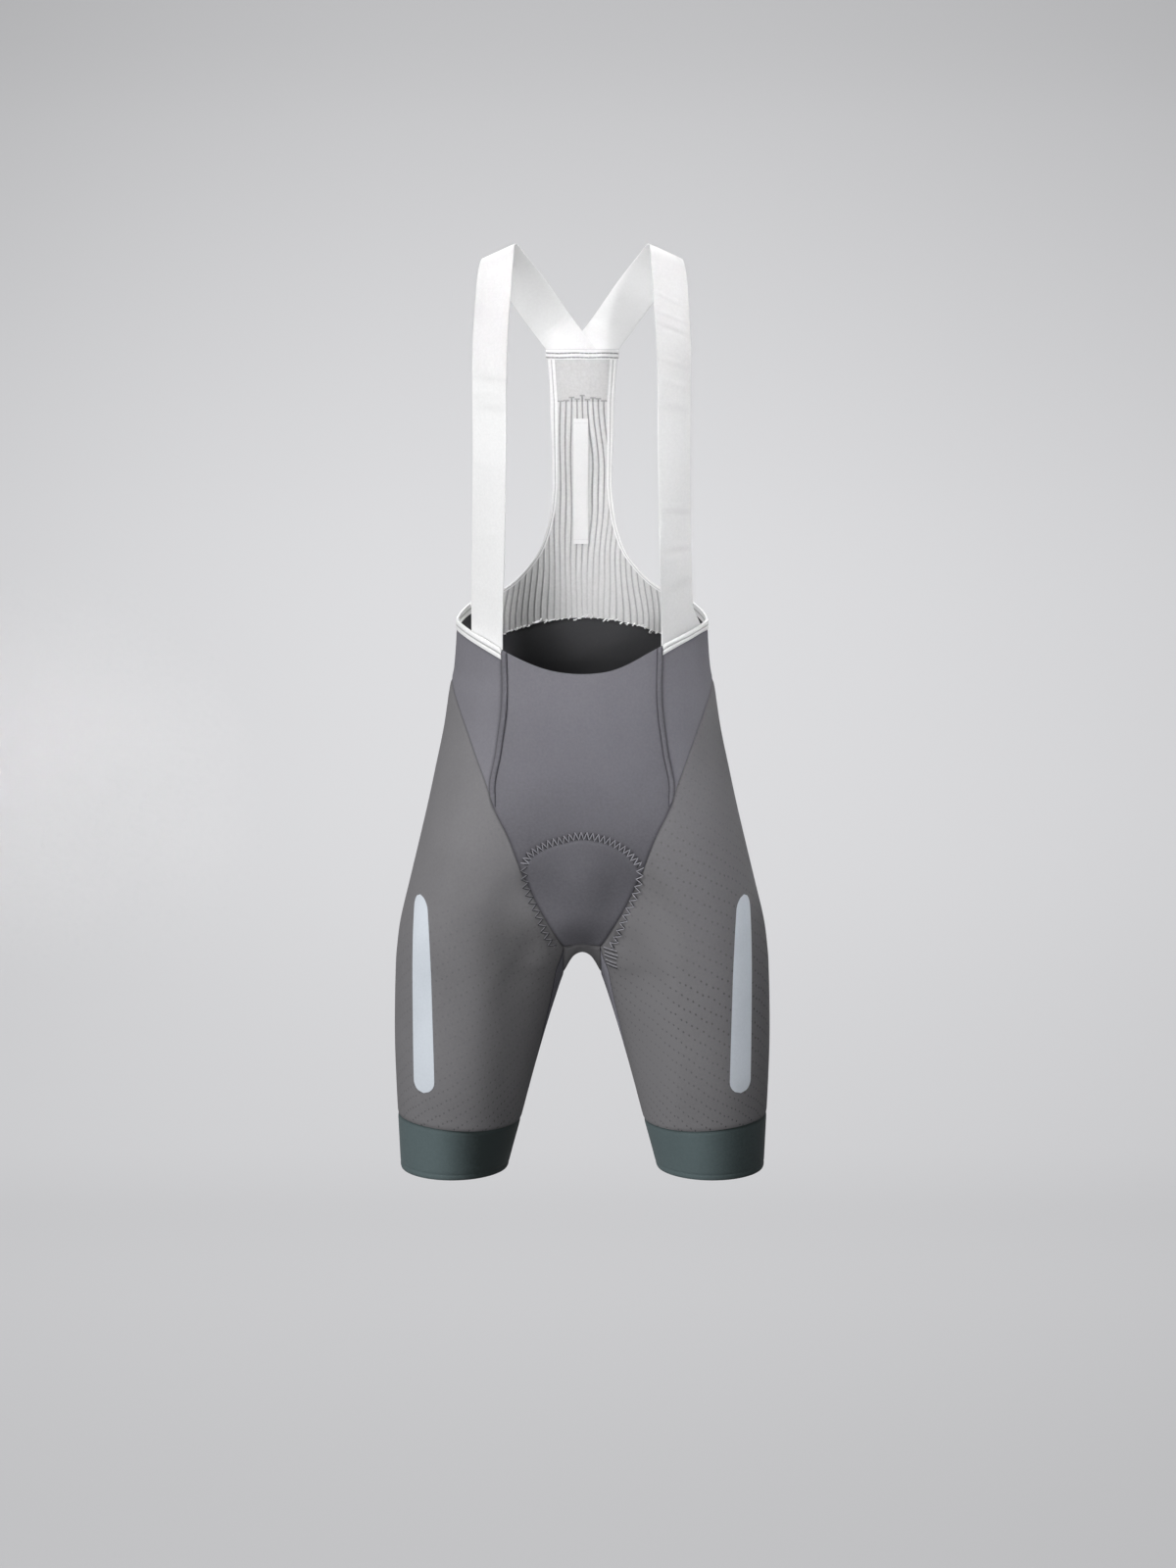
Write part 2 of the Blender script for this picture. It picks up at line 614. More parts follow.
@dataclass
class Grid:
    """Cloth as two grids of points, its outer face and its inner face, in millimetres."""

    outer: Array
    inner: Array
    uv: Array
    pressed: Array
    wrap: bool = False
    has: Array | None = None
    base: Array | None = None
    dimpled: Array | None = None

    def mesh(self, name: str) -> bpy.types.Mesh:
        """A closed mesh of both faces and the rim between them.

        Args:
            name: The mesh's name.

        Returns:
            The mesh, in metres, with its coordinates and the pressed attribute.
        """
        rows, width = self.outer.shape[:2]
        columns = width if self.wrap else width - 1
        rows -= 1
        has = np.ones((rows, columns), bool) if self.has is None else self.has
        points = np.concatenate([self.outer.reshape(-1, 3), self.inner.reshape(-1, 3)]) * MM
        j, i = np.nonzero(has)
        other = (i + 1) % width
        one = rows * width + width

        def corners(side: int) -> list[Array]:
            """The four corners of every cell on one face."""
            base = side * one
            return [base + j * width + i, base + j * width + other,
                    base + (j + 1) * width + other, base + (j + 1) * width + i]

        a, b = corners(0), corners(1)
        padded = np.pad(has, 1)
        if self.wrap:
            padded[:, 0], padded[:, -1] = padded[:, -2], padded[:, 1]
        near = [padded[j, i + 1], padded[j + 1, i + 2], padded[j + 2, i + 1], padded[j + 1, i]]
        faces = [np.stack(a, 1), np.stack(b[::-1], 1)]
        for k in range(4):
            rim = ~near[k]
            p, q = k, (k + 1) % 4
            faces.append(np.stack([a[q][rim], a[p][rim], b[p][rim], b[q][rim]], 1))
        kind = np.repeat([0, 1, 0, 0, 0, 0], [len(f) for f in faces])
        quads = np.concatenate(faces)
        p0, p1, p2, p3 = (points[quads[:, k]] for k in range(4))
        volume = np.einsum("ij,ij->", p0, np.cross(p1, p2)) + np.einsum("ij,ij->", p0, np.cross(p2, p3))
        if volume < 0:
            quads = quads[:, ::-1]
        used, quads = np.unique(quads, return_inverse=True)
        quads = quads.reshape(-1, 4)
        mesh = bpy.data.meshes.new(name)
        mesh.from_pydata(points[used].tolist(), [], quads.tolist())
        mesh.polygons.foreach_set("material_index", kind.astype(np.int32))
        uv = np.concatenate([self.uv.reshape(-1, 2)] * 2)[used] * MM
        layer = mesh.uv_layers.new(name=UV_NAME)
        layer.data.foreach_set("uv", uv[quads.ravel()].astype(np.float32).ravel())
        pressed = np.concatenate([self.pressed.ravel()] * 2)[used]
        mesh.attributes.new(PRESSED, "FLOAT", "POINT").data.foreach_set("value", pressed.astype(np.float32))
        if self.dimpled is not None:
            shown = np.concatenate([self.dimpled.ravel()] * 2)[used].astype(np.float32)
            mesh.attributes.new(DIMPLED, "FLOAT", "POINT").data.foreach_set("value", shown)
        mesh.update()
        return mesh


def flat_lengths(points: Array) -> Array:
    """Coordinates along the cloth: round the figure from the middle column, and height."""
    level = points * np.array([1.0, 1.0, 0.0])
    across = along(level, 1)
    return pair(across - across[:, across.shape[1] // 2, None], points[..., 2])


def set_back(points: Array, edges: str) -> Array:
    """Pulls the named edges of a grid in by half a seam gap."""
    moved = points.copy()
    half = SEAM_GAP / 2
    if "t" in edges:
        moved[0] += half * unit(points[1] - points[0])
    if "b" in edges:
        moved[-1] += half * unit(points[-2] - points[-1])
    if "l" in edges:
        moved[:, 0] += half * unit(points[:, 1] - points[:, 0])
    if "r" in edges:
        moved[:, -1] += half * unit(points[:, -2] - points[:, -1])
    return moved


@dataclass(frozen=True)
class Crease:
    """A soft ridge or trough in the worn cloth, from one place on the front to another."""

    start: tuple[float, float]
    end: tuple[float, float]
    width: float
    height: float
    face: Face = Face.FRONT

    def relief(self, points: Array) -> Array:
        """How far out the crease lifts each point."""
        ends = np.array([self.start, self.end])
        t = np.linspace(0, 1, 7)
        line = figure.at(self.face, mix(*ends[:, 0], t), mix(*ends[:, 1], t))
        return self.height * np.exp(-((line_distance(points, line) / self.width) ** 2))


CREASES = [
    Crease((-64, -640), (-118, -700), 16, -1.6),
    Crease((-50, -668), (-96, -752), 13, 1.4),
    Crease((64, -640), (120, -702), 16, -1.4),
    Crease((48, -672), (98, -748), 13, 1.5),
    Crease((-30, -690), (-30, -640), 14, -1.4),
    Crease((32, -690), (30, -640), 14, -1.4),
    Crease((0, -700), (0, -620), 16, 1.5),
    Crease((-78, -470), (-20, -505), 15, -0.7),
    Crease((80, -474), (24, -512), 15, -0.7),
    Crease((-70, -560), (-20, -560), 18, 0.7),
]


def pad_lines() -> list[Array]:
    """The pad's stitching as lines on the figure: the arc, then the two sides."""
    arc = figure.at(Face.FRONT, PAD_ARC[:, 0], PAD_ARC[:, 1])
    side = figure.at(Face.FRONT, PAD_SIDE[:, 0], PAD_SIDE[:, 1])
    return [arc, side, mirrored(side)]


@dataclass
class Piece:
    """One finished piece of the garment and how it is declared."""

    node: str
    slot: str | None
    finish: Finish
    inside: Finish | None = None
    cut: tuple[float, float] | None = None
    area: float | None = None
    level: bool = False
    extras: list[bpy.types.Object] = field(default_factory=list)

    def place(self, mesh: bpy.types.Mesh, name: str | None = None) -> bpy.types.Object:
        """Puts a mesh in the scene on the body, in the place of the piece's node.

        Args:
            mesh: The finished mesh.
            name: The object's name, the node's with _cloth if it isn't given.

        Returns:
            The object.
        """
        made = bpy.data.objects.new(name or f"{self.node}_cloth", mesh)
        bpy.context.scene.collection.objects.link(made)
        mesh.materials.append(self.finish.material())
        mesh.materials.append((self.inside or self.finish).material())
        bpy.ops.object.select_all(action="DESELECT")
        made.select_set(True)
        bpy.context.view_layer.objects.active = made
        bpy.ops.object.shade_smooth_by_angle(angle=math.radians(50))
        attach(made, "root")
        if name is None:
            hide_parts(self.node)
        log.info("%s: %d faces", made.name, len(mesh.polygons))
        return made

    def sheet(self, grid: Grid) -> bpy.types.Object:
        """Args:
            grid: The cloth.

        Returns:
            The object.
        """
        mesh = grid.mesh(self.node)
        made = self.place(mesh)
        base = grid.outer if grid.base is None else grid.base
        if grid.wrap:
            base = np.concatenate([base, base[:, :1]], 1)
        across = along(base * np.array([1.0, 1.0, 0.0 if self.level else 1.0]), 1).max()
        down = along(base, 0).max()
        half = sum(p.area for p in mesh.polygons) / 2
        log.info("%s cut: %.3f x %.3f, %.5f", self.node, across * MM, down * MM, half)
        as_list(self.extras)
        return made


def worn(points: Array, seams: str, thick: float = CLOTH, dip: float = 0.6, gap: bool = True,
         wrap: bool = False, extra: Array | float = 0.0, dark: Array | float = 0.3) -> Grid:
    """Cloth that lies on the figure, with creases, and pressed in along its seams.

    Args:
        points: A grid of points on the figure.
        seams: The edges that are seamed.
        thick: How thick the cloth is.
        dip: How deep the seams are pressed.
        gap: Whether the seamed edges leave half a seam gap.
        wrap: True on a tube.
        extra: More relief, as a number or one a point.
        dark: How shaded the seams are, as a number or one a point.

    Returns:
        The cloth.
    """
    if points[..., 2].min() < GRIPPER_TOP + 60:
        points = tilted(points)
    if points[..., 2].max() > FRONT_WAIST - 60:
        points = drawn_up(points)
    normals = figure.outward(points)
    near = np.exp(-((edge_distance(points, seams) / 2.3) ** 2))
    lifted = sum(c.relief(points) for c in CREASES) + extra - dip * near
    base = set_back(points, seams) if gap else points
    outer = base + normals * lifted[..., None]
    return Grid(outer, outer - normals * thick, flat_lengths(points), dark * near, wrap)


def tube_mesh(name: str, paths: Sequence[Array], radius: float, sides: int = 6) -> bpy.types.Mesh:
    """Round threads along lines of points, closed at their ends.

    Args:
        name: The mesh's name.
        paths: One line of points a thread, in millimetres.
        radius: The thread's radius.
        sides: Faces round the thread.

    Returns:
        One mesh of them all, in metres.
    """
    points, faces, uvs = [], [], []
    turn = np.linspace(0, 2 * math.pi, sides, endpoint=False)
    for path in paths:
        ahead = unit(np.gradient(path, axis=0))
        side = unit(np.cross(ahead, [0.31, 0.52, 0.79]))
        up = np.cross(side, ahead)
        ring = path[:, None] + radius * (np.cos(turn)[:, None] * side[:, None]
                                         + np.sin(turn)[:, None] * up[:, None])
        start = len(points)
        points.extend(ring.reshape(-1, 3) * MM)
        reach = along(path[None], 1)[0]
        uvs.extend(pair(np.tile(turn * radius, len(path)), np.repeat(reach, sides)) * MM)
        for j in range(len(path) - 1):
            for i in range(sides):
                a, b = start + j * sides + i, start + j * sides + (i + 1) % sides
                faces.append((a, b, b + sides, a + sides))
        last = start + (len(path) - 1) * sides
        faces.append(tuple(range(start + sides - 1, start - 1, -1)))
        faces.append(tuple(range(last, last + sides)))
    mesh = bpy.data.meshes.new(name)
    mesh.from_pydata([tuple(p) for p in points], [], faces)
    layer = mesh.uv_layers.new(name=UV_NAME)
    used = np.zeros(len(mesh.loops), np.int32)
    mesh.loops.foreach_get("vertex_index", used)
    layer.data.foreach_set("uv", np.array(uvs, np.float32)[used].ravel())
    mesh.update()
    return mesh


def resampled(line: Array, step: float) -> Array:
    """The line's points again, that far apart along it."""
    reach = along(line[None], 1)[0]
    at = np.linspace(0, reach[-1], max(2, round(reach[-1] / step) + 1))
    return np.stack([Curve(reach, line[:, k])(at) for k in range(3)], -1)


def zigzag(line: Array, pitch: float, width: float, lift: float, shift: float = 0.0) -> Array:
    """A zigzag stitch along a line on the figure.

    Args:
        line: Points on the figure.
        pitch: Length of one stitch there and back.
        width: How wide it swings.
        lift: How far it stands out.
        shift: How far it is moved along the line.

    Returns:
        The thread's points.
    """
    fine = figure.settle(resampled(line, pitch / 8))
    normals = figure.outward(fine)
    ahead = unit(np.gradient(fine, axis=0))
    side = np.cross(normals, ahead)
    phase = (np.arange(len(fine)) / 8 + shift / pitch) % 1
    swing = 4 * np.abs(phase - 0.5) - 1
    hump = 1 - np.abs(swing) ** 2
    reach = figure.settle(fine + side * (swing * width / 2)[:, None])
    return reach + figure.outward(reach) * (lift + 0.35 * hump)[:, None]


@dataclass
class Threads:
    """Stitching that goes on one piece."""

    slot: str
    finish: Finish
    radius: float

    def place(self, name: str, paths: Sequence[Array]) -> bpy.types.Object:
        """Adds the threads as one object.

        Args:
            name: The object's name.
            paths: The threads' points.

        Returns:
            The object.
        """
        return Piece(name, self.slot, self.finish).place(tube_mesh(name, paths, self.radius), name)


@dataclass
class MiddlePanels:
    """The front panel with its scooped raw edge, the plain back panel and the felled seams."""

    columns: int = 96
    rows: int = 150
    groove: float = 0.9
    felled_width: float = 6.0
    felled_height: float = 2.0
    felled_end: float = 11.0
    low_shade: float = 0.36
    side_shade: float = 0.10

    def levels(self, first: Sequence[float]) -> Array:
        """Heights of the rows, waist first."""
        lower = [mix(FRONT_POINT, SEAM_TIP, k / LOWER_STEPS) for k in range(LOWER_STEPS - 1, -1, -1)]
        return np.array([*first, *lower])

    def panel(self, face: Face, seam: Curve, levels: Array, top: Callable[[Array], Array]) -> Array:
        """A grid of points between the two seams.

        Args:
            face: Front or back.
            seam: Half width of the panel at a height.
            levels: Heights of its rows at even steps.
            top: Height of the top edge at a distance out.

        Returns:
            Points on the figure.
        """
        u, v = mix(-1, 1, spaced(self.columns, 0.6)), spaced(self.rows, 0.5)
        level = np.interp(v, np.linspace(0, 1, len(levels)), levels)
        sag = top(u * float(seam(levels[0]))) - levels[0]
        z = level[:, None] + sag * (1 - v[:, None]) ** 2
        return figure.at(face, seam(level)[:, None] * u, z)

    def pad_relief(self, points: Array) -> Array:
        """The groove of the pad's stitching, and the cloth that the pad lifts inside it."""
        arc = pad_lines()[0]
        groove = np.exp(-((line_distance(points, arc) / 3.4) ** 2))
        inside = smooth((np.interp(points[..., 0], PAD_ARC[:, 0], PAD_ARC[:, 1]) - points[..., 2]) / 9)
        return 1.1 * inside - self.groove * groove

    def front(self) -> bpy.types.Object:
        """The front panel, its pad stitching and felled seams."""
        levels = self.levels([FRONT_EDGE, *np.linspace(FRONT_WAIST, SEAM_TIP, UPPER_STEPS + 1)])
        scoop = lambda x: FRONT_EDGE - FRONT_DIP * (1 - (x / 81.5) ** 2)
        points = self.panel(Face.FRONT, front_seam, levels, scoop)
        fold = edge_distance(points, "b")
        grid = worn(points, "blr", extra=self.pad_relief(points) - 1.2 * np.exp(-((fold / 3) ** 2)))
        grid.pressed = np.maximum(grid.pressed, 0.75 * np.exp(-((fold / 2.2) ** 2))) \
            + self.low_shade * smooth((-400 - points[..., 2]) / 240) \
            + self.side_shade * smooth((points[..., 0] + 12) / 40) * smooth((-560 - points[..., 2]) / 60)
        arc = pad_lines()[0]
        stitches = [
            Threads("smooth_knit", DARK_THREAD, 0.55).place("pad_arc_shadow_thread", [zigzag(arc, 5.6, 8.0, 0.3, 1.3)]),
            Threads("smooth_knit", PALE_THREAD, 0.46).place("pad_arc_thread", [zigzag(arc, 5.6, 8.0, 0.5)]),
        ]
        x = np.linspace(-13, 11, 12)
        fold_line = figure.at(Face.FRONT, x, FRONT_POINT + 2.6 + 1.6 * (1 - ((x + 1) / 12) ** 2))
        stitches.append(Threads("smooth_knit", DULL_THREAD, 0.5).place("crotch_fold", [
            fold_line + figure.outward(fold_line) * -0.6]))
        felled = [self.felled(side) for side in ("left", "right")]
        return Piece("front_panel", "smooth_knit", SMOOTH_KNIT, INSIDE_KNIT, extras=[*stitches, *felled]).sheet(grid)

    def felled(self, side: str) -> bpy.types.Object:
        """One felled seam: a rounded ridge of folded cloth, puckered along its stitching."""
        t = np.linspace(0, 1, 13)
        z = mix(FELLED_TOP, SEAM_TIP - self.felled_end * (1 - t), np.linspace(0, 1, 141)[:, None])
        x = front_seam(np.maximum(z, SEAM_TIP)) - SEAM_GAP - self.felled_width * (1 - t)
        points = figure.at(Face.FRONT, x, z)
        round_top = np.sin(np.pi * np.clip(t, 0.02, 0.98)) ** 0.6
        pucker = 1 + (0.12 * np.sin(z * 2 * np.pi / 5.2) + 0.08 * np.sin(z * 2 * np.pi / 3.1 + 9 * t)) * np.sin(np.pi * t)
        ends = smooth((FELLED_TOP - z) / 5 + 0.4)
        height = self.felled_height * round_top * pucker * ends + 0.35
        points = drawn_up(mirrored(points) if side == "right" else points)
        normals = figure.outward(points)
        pressed = (0.8 * (1 - np.sin(np.pi * t)) ** 3 + 0.22) * np.ones_like(x)
        grid = Grid(points + normals * height[..., None], points + normals * 0.3, flat_lengths(points), pressed)
        return Piece(f"front_seam_{side}", "smooth_knit", SMOOTH_KNIT).place(grid.mesh(f"front_seam_{side}"))

    def back(self) -> bpy.types.Object:
        """The back panel under the ribs."""
        upper = back_levels()[RIB_SIDE_STEPS:]
        points = self.panel(Face.BACK, back_seam, self.levels(upper), rib_bottom)
        return Piece("back_panel", "smooth_knit", SMOOTH_KNIT, INSIDE_KNIT).sheet(worn(points, "tblr"))


def back_levels() -> Array:
    """Heights of the side seam behind, from the rib panel's side to the tip."""
    ribs = np.linspace(RIB_SIDE_TOP, RIB_CORNER, RIB_SIDE_STEPS + 1)
    return np.concatenate([ribs, np.linspace(RIB_CORNER, SEAM_TIP, UPPER_STEPS - RIB_SIDE_STEPS + 1)[1:]])


def leg_seam(k: Array) -> Array:
    """The leg panel's upper seam at its steps from front to back, as angle and height."""
    k = np.asarray(k, float)
    half = LOWER_STEPS + SIDE_STEPS
    ahead = k <= half
    step = np.where(ahead, k, 2 * half - k)
    low_z = mix(FRONT_POINT, SEAM_TIP, np.minimum(step, LOWER_STEPS) / LOWER_STEPS)
    front = angle_of(figure.at(Face.FRONT, front_seam(low_z), low_z))
    back = angle_of(figure.at(Face.BACK, back_seam(low_z), low_z))
    t = np.clip((step - LOWER_STEPS) / SIDE_STEPS, 0, 1)
    rise = np.sin(t * math.pi / 2) ** ARCH_ROUNDNESS
    z = np.where(step > LOWER_STEPS, mix(SEAM_TIP, SIDE_PEAK, rise), low_z)
    return pair(mix(np.where(ahead, front, back), 0, t), z)


def waist_edge(t: Array) -> Array:
    """The waist round the side, from the front seam to the ribs, as angle and height."""
    start = angle_of(figure.at(Face.FRONT, front_seam(FRONT_WAIST), FRONT_WAIST))
    end = angle_of(figure.at(Face.BACK, RIB_HALF, RIB_SIDE_TOP))
    angle = mix(start, end, t)
    back = mix(SIDE_WAIST, RIB_SIDE_TOP, np.clip(angle / end, 0, 1) ** WAIST_BACK_RISE)
    gone = np.clip(angle / start, 0, 1)
    front = mix(SIDE_WAIST, FRONT_WAIST, gone**WAIST_FRONT_EASE)
    return pair(angle, np.where(angle > 0, back, front))


@dataclass
class SidePanels:
    """The smooth panels under the waist binding."""

    columns: int = 96
    rows: int = 60

    def points(self) -> Array:
        """The left panel as points on the figure."""
        def front(v: Array) -> Array:
            """The seam with the front panel."""
            z = mix(FRONT_WAIST, SEAM_TIP, v)
            return pair(angle_of(figure.at(Face.FRONT, front_seam(z), z)), z)

        def back(v: Array) -> Array:
            """The seam with the ribs and the back panel."""
            z = np.interp(v, np.linspace(0, 1, UPPER_STEPS + 1), back_levels())
            x = np.where(z > RIB_CORNER, RIB_HALF, back_seam(z))
            return pair(angle_of(figure.at(Face.BACK, x, z)), z)

        arch = lambda t: leg_seam(LOWER_STEPS + 2 * SIDE_STEPS * t)
        grid = filled(spaced(self.columns, 0.6), spaced(self.rows, 0.6), waist_edge, arch, front, back)
        return figure.round_leg(grid[..., 0], grid[..., 1])

    def build(self) -> None:
        """Both side panels."""
        for side in ("left", "right"):
            points = self.points()
            points = mirrored(points) if side == "right" else points
            Piece(f"side_panel_{side}", "smooth_knit", SMOOTH_KNIT, INSIDE_KNIT, level=True).sheet(
                worn(points, "tblr"))


@dataclass
class Legs:
    """Leg panels, inner leg strips, gusset, leg bands, and what is stitched or bonded on."""

    around: int = 168
    rows: int = 120
    stripe_width: float = 27.0
    stripe_top: float = -655.0
    stripe_bottom: float = -862.0
    rungs: int = 5
    mean_radius: float = 84.0

    def seam_depths(self, edge: int) -> tuple[Array, Array]:
        """Heights and depths along one seam of the inner strip, at the steps of the panels."""
        z = np.linspace(FRONT_POINT, GRIPPER_TOP, LEG_ROWS + 1)
        y = Curve(INNER_LEG[:, 0], INNER_LEG[:, edge + 1])(z)
        face = Face.FRONT if edge == 0 else Face.BACK
        y[0] = figure.at(face, POINT_HALF, FRONT_POINT)[1]
        return z, y

    def inner_seam(self, edge: int) -> Edge:
        """One edge of the leg panel, as angle and height."""
        z, y = self.seam_depths(edge)
        seen = figure.inside_leg(y, z)
        face = Face.FRONT if edge == 0 else Face.BACK
        seen[0] = figure.at(face, POINT_HALF, FRONT_POINT)
        steps = np.linspace(0, 1, LEG_ROWS + 1)
        angles = Curve(steps, angle_of(seen, past=edge == 0))
        return lambda v: pair(angles(v), mix(FRONT_POINT, GRIPPER_TOP, v))

    def panel_grid(self) -> Array:
        """The left leg panel as angles and heights."""
        front, back = self.inner_seam(0), self.inner_seam(1)
        ends = (front(np.array([1.0]))[0, 0], back(np.array([1.0]))[0, 0])
        top = lambda u: leg_seam(2 * (LOWER_STEPS + SIDE_STEPS) * u)
        bottom = lambda u: pair(mix(*ends, u), GRIPPER_TOP)
        return filled(spaced(self.around, 0.5), spaced(self.rows, 0.5), top, bottom, front, back)

    def stripe(self, side: str) -> bpy.types.Object:
        """A plain rounded reflective stripe on the outside of the thigh."""
        v = spaced(96)
        z = mix(self.stripe_top, self.stripe_bottom, v)
        half = self.stripe_width / 2
        length = self.stripe_top - self.stripe_bottom
        end = np.minimum(v, 1 - v) * length
        wide = np.where(end < half, np.sqrt(np.maximum(half**2 - (half - end) ** 2, 0.04)), half)
        middle = figure.at(Face.FRONT, 165 - 2.0 * v, z)
        radius = np.linalg.norm((middle - np.stack([axis_out(z), 0 * z, z], -1)), axis=-1)
        x = np.linspace(-1, 1, 11) * wide[:, None]
        points = figure.round_leg(angle_of(middle)[:, None] + x / radius[:, None], np.broadcast_to(z[:, None], x.shape))
        points = mirrored(points) if side == "right" else points
        normals = figure.outward(points)
        lift = 0.45 + 0.0 * x
        grid = Grid(points + normals * lift[..., None], points + normals * 0.1, flat_lengths(points), 0 * x)
        made = Piece(f"reflective_stripe_{side}", None, REFLECTIVE_FILM)
        return made.place(grid.mesh(made.node), made.node)

    def pad_side(self, side: str) -> list[bpy.types.Object]:
        """The pad's zigzag beside the leg seam, and the ladder of short stitches under it."""
        line = pad_lines()[1 if side == "left" else 2]
        dark = zigzag(line, 8.6, 7.0, 0.3, 0.9)
        pale = zigzag(line, 8.6, 7.0, 0.5)
        made = [
            Threads("dimpled_knit", DARK_THREAD if side == "left" else DULL_THREAD, 0.4).place(
                f"pad_side_shadow_thread_{side}", [dark]),
            Threads("dimpled_knit", PALE_THREAD if side == "left" else DARK_THREAD, 0.42 if side == "left" else 0.58
                    ).place(f"pad_side_thread_{side}", [pale]),
        ]
        if side == "right":
            return made
        rungs = []
        for k in range(self.rungs):
            x = np.linspace(22.0 + 0.7 * k + 0.6 * math.sin(2.1 * k), 35.5 + 0.8 * math.sin(1.7 * k), 6)
            rung = figure.at(Face.FRONT, x, -706.0 - 4.6 * k - 0.25 * (x - 20) - 0.4 * math.sin(2.6 * k))
            rungs.append(rung + figure.outward(rung) * 0.2)
        return [*made, Threads("dimpled_knit", PALE_THREAD, 0.4).place("pad_ladder_thread", rungs),
                Threads("dimpled_knit", DARK_THREAD, 0.45).place("pad_ladder_shadow_thread",
                                                                 [r - [0, 0, 1.6] for r in rungs])]

    def panels(self) -> None:
        """Both leg panels."""
        seen = self.panel_grid()
        left = figure.round_leg(seen[..., 0], seen[..., 1])
        for side in ("left", "right"):
            points = mirrored(left) if side == "right" else left
            line = pad_lines()[1 if side == "left" else 2]
            groove = -0.8 * np.exp(-((line_distance(points, line) / 3.6) ** 2))
            extras = [self.stripe(side), *self.pad_side(side)]
            piece = Piece(f"leg_panel_{side}", "dimpled_knit", DIMPLED_KNIT, INSIDE_KNIT, level=True,
                          extras=extras)
            cloth = worn(points, "tblr", extra=groove)
            cloth.uv = seen * np.array([self.mean_radius, 1.0])
            cloth.dimpled = self.dimples(side, points)
            cloth.pressed = cloth.pressed + self.turned_away(side, points)
            piece.sheet(cloth)

    def turned_away(self, side: str, points: Array) -> Array:
        """How much darker the cloth is towards the right of each leg."""
        x, low = points[..., 0], smooth((-points[..., 2] - 640) / 60)
        if side == "left":
            return low * (0.3 * smooth((x - 145) / 40) - 0.2 * smooth((110 - x) / 35))
        return 0.42 * low * smooth((x + 118) / 40)

    def dimples(self, side: str, points: Array) -> Array:
        """How much the dimples show: flat where the cloth is drawn tight over the hip."""
        down = -points[..., 2]
        if side == "left":
            return 0.25 + 0.25 * smooth((down - 560) / 70) + 0.5 * smooth((down - 690) / 90)
        return 0.08 + 0.22 * smooth((down - 640) / 60) + 0.5 * smooth((down - 800) / 70)

    def strips(self) -> None:
        """The gusset and the two inner leg strips."""
        across = lambda face: lambda u: (
            lambda x: pair(x, figure.at(face, x, np.full_like(x, FRONT_POINT))[..., 1]))(mix(-POINT_HALF, POINT_HALF, u))
        front_y, back_y = (figure.at(f, POINT_HALF, FRONT_POINT)[1] for f in (Face.FRONT, Face.BACK))
        side = lambda x: lambda v: pair(x, mix(front_y, back_y, v))
        t = spaced(54, 0.4)
        grid = filled(t, t, across(Face.FRONT), across(Face.BACK), side(-POINT_HALF), side(POINT_HALF))
        points = figure.saddle(grid[..., 0], grid[..., 1])
        ahead = edge_distance(points, "t")
        cloth = worn(points, "tblr", extra=1.3 * np.exp(-(((ahead - 4.5) / 2.6) ** 2)))
        cloth.uv = grid
        cloth.dimpled = 0 * ahead
        Piece("gusset", "dimpled_knit", DIMPLED_KNIT, INSIDE_KNIT).sheet(cloth)
        edges = []
        for edge in (0, 1):
            z, y = self.seam_depths(edge)
            depth = Curve(np.linspace(0, 1, LEG_ROWS + 1), y)
            edges.append(lambda v, depth=depth: pair(depth(v), mix(FRONT_POINT, GRIPPER_TOP, v)))
        ends = [edge(np.array([1.0]))[0, 0] for edge in edges]

        def top(u: Array) -> Array:
            """The seam with the gusset."""
            y = mix(front_y, back_y, u)
            return pair(y, figure.saddle(np.full_like(y, POINT_HALF), y)[..., 2])

        bottom = lambda u: pair(mix(*ends, u), GRIPPER_TOP)
        grid = filled(spaced(40, 0.4), spaced(self.rows, 0.4), top, bottom, *edges)
        left = figure.inside_leg(grid[..., 0], grid[..., 1])
        for name in ("left", "right"):
            points = mirrored(left) if name == "right" else left
            cloth = worn(points, "tblr", dip=0.8, dark=0.95)
            cloth.uv = grid
            cloth.pressed = cloth.pressed + (0.65 if name == "right" else 0.0)
            Piece(f"inner_leg_{name}", "smooth_knit", INNER_KNIT, INSIDE_KNIT).sheet(cloth)

    def bands(self) -> None:
        """The elastic leg bands: rolled at the seam, a fine turned hem below."""
        angle = np.linspace(0, 2 * math.pi, 192, endpoint=False)
        z = mix(GRIPPER_TOP - SEAM_GAP / 2, HEM, spaced(44, 0.6))
        left = tilted(figure.round_leg(*np.meshgrid(angle, z)))
        down = (GRIPPER_TOP - z)[:, None]
        up = (z - HEM)[:, None]
        relief = -0.8 * np.exp(-((down / 2.4) ** 2)) - 0.5 * np.exp(-(((up - 5.5) / 1.0) ** 2)) \
            - 0.5 * np.exp(-((up / 1.0) ** 2)) + 0 * angle
        for side in ("left", "right"):
            points = mirrored(left) if side == "right" else left
            normals = figure.outward(points)
            outer = points + normals * relief[..., None]
            around = along(np.concatenate([points, points[:, :1]], 1), 1)[:, :-1]
            pressed = 0.5 * np.exp(-((down / 2.0) ** 2)) + 0.3 * np.exp(-((up / 1.2) ** 2)) \
                + (0.65 if side == "left" else 0.9) * smooth((points[..., 0] + (-112 if side == "left" else 155)) / 60)
            grid = Grid(outer, outer - normals * GRIPPER_CLOTH, pair(around, points[..., 2]), pressed, wrap=True)
            Piece(f"gripper_{side}", "gripper_elastic", BAND_ELASTIC, BAND_ELASTIC).sheet(grid)

    def build(self) -> None:
        """All pieces of the legs."""
        self.panels()
        self.strips()
        self.bands()


